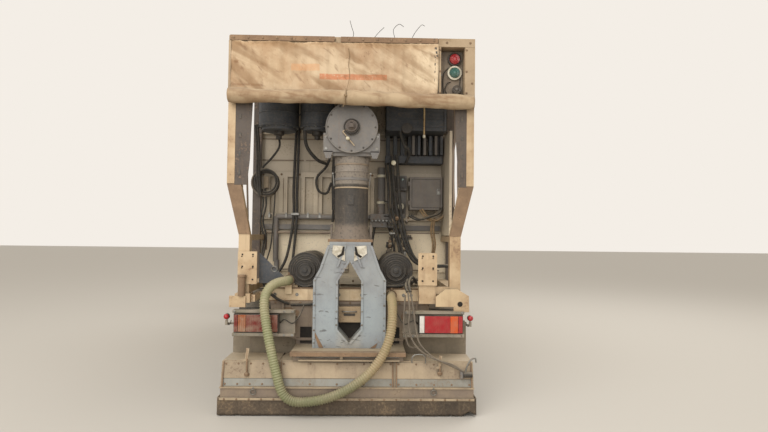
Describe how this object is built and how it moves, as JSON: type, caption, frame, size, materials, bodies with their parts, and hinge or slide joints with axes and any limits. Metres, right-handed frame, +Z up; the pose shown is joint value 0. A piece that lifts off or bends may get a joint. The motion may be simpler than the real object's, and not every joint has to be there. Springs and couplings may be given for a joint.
{
  "type": "truck-mounted binder spreader",
  "caption": "Road-going binder spreader: cab-over carrier with tandem rear axle, silo, open rear gear bay, drop spout, forked chute and full-width spreading box.",
  "frame": {"origin": "on the ground, midway along and across the vehicle, the free suction hose left out", "axes": "+Y forward towards the cab, +X to the vehicle's right, +Z up"},
  "size_m": [2.8906, 9.1175, 4.2082],
  "materials": {
    "cream_paint": "chalky cream enamel",
    "silo_paint": "chalky cream enamel",
    "chassis_paint": "dusty dark chassis paint",
    "axle_paint": "matt chassis black",
    "spring_steel": "matt black",
    "engine_paint": "painted casting",
    "tank_metal": "dull aluminium",
    "lamp_glass": "clear lens",
    "guard_plastic": "moulded, dusty",
    "flap_rubber": "dusty rubber",
    "frame_paint": "cream, rubbed",
    "rail_yellow": "yellow paint",
    "bay_paint": "dusty grey and cream",
    "post_paint": "cream with rust",
    "canvas": "coated canvas",
    "signal_paint": "dark housing",
    "housing_grey": "dusty grey paint",
    "spout_grey": "scuffed grey paint",
    "chute_blue": "blue-grey paint, dusty",
    "drum_black": "satin black",
    "beam_cream": "cream, chipped",
    "filter_blue": "dark navy enamel",
    "valve_grey": "dusty grey",
    "cabinet_grey": "textured light grey",
    "hopper_grey": "worn grey",
    "box_paint": "cream over blue-grey, dusty",
    "skirt_rubber": "brown dusty rubber",
    "bracket_green": "grey-green, dusty",
    "lamp_red": "moulded lens",
    "hose_green": "ribbed, dusty",
    "cab_paint": "gloss cream",
    "window_glass": "clear",
    "seat_fabric": "woven",
    "mirror_black": "moulded",
    "tyre_rubber": "dusty tread",
    "rim_paint": "cream wheel enamel",
    "shaft_steel": "oiled, rust tinted"
  },
  "bodies": {
    "carrier": {"frame": "chassis_paint", "axles": "axle_paint", "springs": "spring_steel", "engine": "engine_paint", "side_boxes": "tank_metal", "front_bumper": "cream_paint", "front_lamps": "lamp_glass", "mudguards": "guard_plastic", "mud_flaps": "flap_rubber", "silo": "silo_paint", "silo_frames": "frame_paint", "water_tank": "cream_paint", "roof_rails": "rail_yellow", "exhaust": "spring_steel", "air_intake": "guard_plastic", "bay_wall": "bay_paint", "bay_posts": "post_paint", "hood": "post_paint", "header_cover": "canvas", "tarp_roll": "canvas", "signal_box": "signal_paint", "screw_housing": "housing_grey", "drop_spout": "spout_grey", "chute": "chute_blue", "drive_drums": "drum_black", "drum_beam": "beam_cream", "dust_filters": "filter_blue", "valve_gear": "valve_grey", "cabinet": "cabinet_grey", "hopper": "hopper_grey", "spreader_box": "box_paint", "dust_skirt": "skirt_rubber", "lamp_brackets": "bracket_green", "tail_lamps": "lamp_red", "suction_hose": "hose_green"},
    "cab": {"cab": "cab_paint", "cab_glass": "window_glass", "cab_interior": "seat_fabric", "mirrors": "mirror_black"},
    "door_left": {"door_left": "cab_paint"},
    "door_right": {"door_right": "cab_paint"},
    "knuckle_left": {"knuckle_left": "axle_paint"},
    "knuckle_right": {"knuckle_right": "axle_paint"},
    "tie_rod": {"tie_rod": "shaft_steel"},
    "wheel_front_left": {"tyre_front_left": "tyre_rubber", "rim_front_left": "rim_paint"},
    "wheel_front_right": {"tyre_front_right": "tyre_rubber", "rim_front_right": "rim_paint"},
    "wheel_drive_left": {"tyres_drive_left": "tyre_rubber", "rims_drive_left": "rim_paint"},
    "wheel_drive_right": {"tyres_drive_right": "tyre_rubber", "rims_drive_right": "rim_paint"},
    "wheel_last_left": {"tyres_last_left": "tyre_rubber", "rims_last_left": "rim_paint"},
    "wheel_last_right": {"tyres_last_right": "tyre_rubber", "rims_last_right": "rim_paint"},
    "screw_shaft": {"screw_shaft": "shaft_steel"},
    "cabinet_door": {"cabinet_door": "cabinet_grey"},
    "lid_front": {"lid_front": "silo_paint"},
    "lid_rear": {"lid_rear": "silo_paint"}
  },
  "joints": [
    {"name": "cab_tilt", "type": "hinge", "parent": "carrier", "child": "cab", "pos_m": [0, 4.38, 1.145], "axis": [-1, 0, 0], "range_deg": [0, 50]},
    {"name": "door_left_hinge", "type": "hinge", "parent": "cab", "child": "door_left", "pos_m": [-1.236, 4.215, 1.8], "axis": [0, 0, -1], "range_deg": [0, 70]},
    {"name": "door_right_hinge", "type": "hinge", "parent": "cab", "child": "door_right", "pos_m": [1.236, 4.215, 1.8], "axis": [0, 0, 1], "range_deg": [0, 70]},
    {"name": "steer_left", "type": "hinge", "parent": "carrier", "child": "knuckle_left", "pos_m": [-0.86, 3.15, 0.51], "axis": [0, 0, 1], "range_deg": [-32, 32]},
    {"name": "steer_right", "type": "hinge", "parent": "carrier", "child": "knuckle_right", "pos_m": [0.86, 3.15, 0.51], "axis": [0, 0, 1], "range_deg": [-32, 32]},
    {"name": "tie_rod_pin", "type": "hinge", "parent": "knuckle_left", "child": "tie_rod", "pos_m": [-0.86, 2.91, 0.403], "axis": [0, 0, 1], "range_deg": [-32, 32]},
    {"name": "wheel_front_left_spin", "type": "hinge", "parent": "knuckle_left", "child": "wheel_front_left", "pos_m": [-1.04, 3.15, 0.51], "axis": [-1, 0, 0], "continuous": true},
    {"name": "wheel_front_right_spin", "type": "hinge", "parent": "knuckle_right", "child": "wheel_front_right", "pos_m": [1.04, 3.15, 0.51], "axis": [-1, 0, 0], "continuous": true},
    {"name": "wheel_drive_left_spin", "type": "hinge", "parent": "carrier", "child": "wheel_drive_left", "pos_m": [-0.93, -1.75, 0.51], "axis": [-1, 0, 0], "continuous": true},
    {"name": "wheel_drive_right_spin", "type": "hinge", "parent": "carrier", "child": "wheel_drive_right", "pos_m": [0.93, -1.75, 0.51], "axis": [-1, 0, 0], "continuous": true},
    {"name": "wheel_last_left_spin", "type": "hinge", "parent": "carrier", "child": "wheel_last_left", "pos_m": [-0.93, -3.1, 0.51], "axis": [-1, 0, 0], "continuous": true},
    {"name": "wheel_last_right_spin", "type": "hinge", "parent": "carrier", "child": "wheel_last_right", "pos_m": [0.93, -3.1, 0.51], "axis": [-1, 0, 0], "continuous": true},
    {"name": "screw_spin", "type": "hinge", "parent": "carrier", "child": "screw_shaft", "pos_m": [0, -4.24, 2.85], "axis": [0, 1, 0], "continuous": true},
    {"name": "cabinet_door_hinge", "type": "hinge", "parent": "carrier", "child": "cabinet_door", "pos_m": [0.646, -3.3523, 2.24], "axis": [0, 0, -1], "range_deg": [0, 100]},
    {"name": "lid_front_hinge", "type": "hinge", "parent": "carrier", "child": "lid_front", "pos_m": [0.305, -0.115, 3.794], "axis": [0, 1, 0], "range_deg": [0, 110]},
    {"name": "lid_rear_hinge", "type": "hinge", "parent": "carrier", "child": "lid_rear", "pos_m": [0.305, -2.065, 3.794], "axis": [0, 1, 0], "range_deg": [0, 110]}
  ],
  "couplings": [
    {"joint": "steer_right", "follows": "steer_left", "ratio": 1},
    {"joint": "tie_rod_pin", "follows": "steer_left", "ratio": -1}
  ]
}
